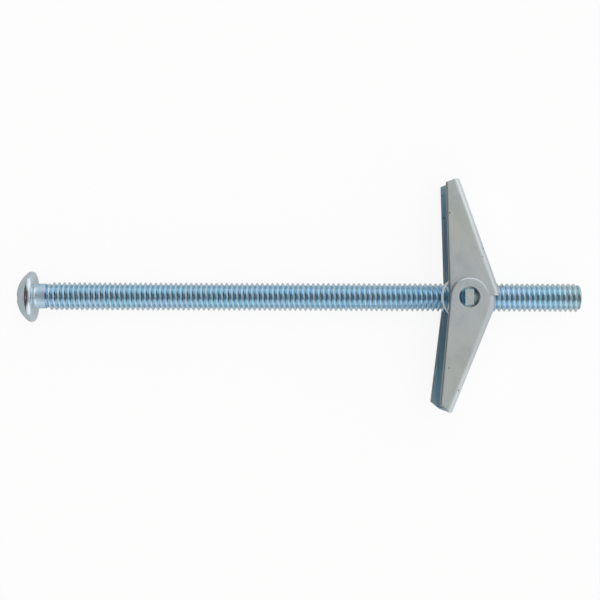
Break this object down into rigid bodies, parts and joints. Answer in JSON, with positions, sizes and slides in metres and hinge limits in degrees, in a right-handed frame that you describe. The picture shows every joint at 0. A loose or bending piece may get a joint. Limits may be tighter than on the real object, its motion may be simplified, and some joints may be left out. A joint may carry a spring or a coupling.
{
  "type": "spring toggle bolt",
  "caption": "Long round head machine screw with a spring-loaded toggle: folding sheet steel wings on a trunnion nut that runs along the thread.",
  "frame": {"origin": "centre of the bearing face under the screw's head, on the screw's axis", "axes": "+X along the screw from the head to its end, +Z along the axis that the wings turn about, +Y towards the tip of the inner wing, which stands open"},
  "size_m": [0.1558, 0.0639, 0.0162],
  "materials": {
    "screw": "bright zinc plating with a blue passivate, glossy",
    "nut": "bright zinc plating, glossy",
    "spring": "drawn spring wire, zinc plated",
    "wings": "zinc plated sheet, satin on the flats and bright on the folds"
  },
  "bodies": {
    "screw": {"machine_screw": "screw"},
    "nut": {"trunnion_nut": "nut", "torsion_spring": "spring"},
    "inner_wing": {"inner_wing": "wings"},
    "outer_wing": {"outer_wing": "wings"}
  },
  "joints": [
    {"name": "nut_travel", "type": "slide", "parent": "screw", "child": "nut", "axis": [1, 0, 0], "range_m": [-0.086, 0.027]},
    {"name": "inner_wing_fold", "type": "hinge", "parent": "nut", "child": "inner_wing", "pos_m": [0.1195, 0, 0], "axis": [0, 0, 1], "range_deg": [0, 75], "stiffness_Nm_per_rad": 0.02, "springref_deg": -51.57, "deforming": ["torsion_spring"]},
    {"name": "outer_wing_fold", "type": "hinge", "parent": "nut", "child": "outer_wing", "pos_m": [0.1195, 0, 0], "axis": [0, 0, -1], "range_deg": [0, 71], "stiffness_Nm_per_rad": 0.02, "springref_deg": -51.57, "deforming": ["torsion_spring"]}
  ]
}
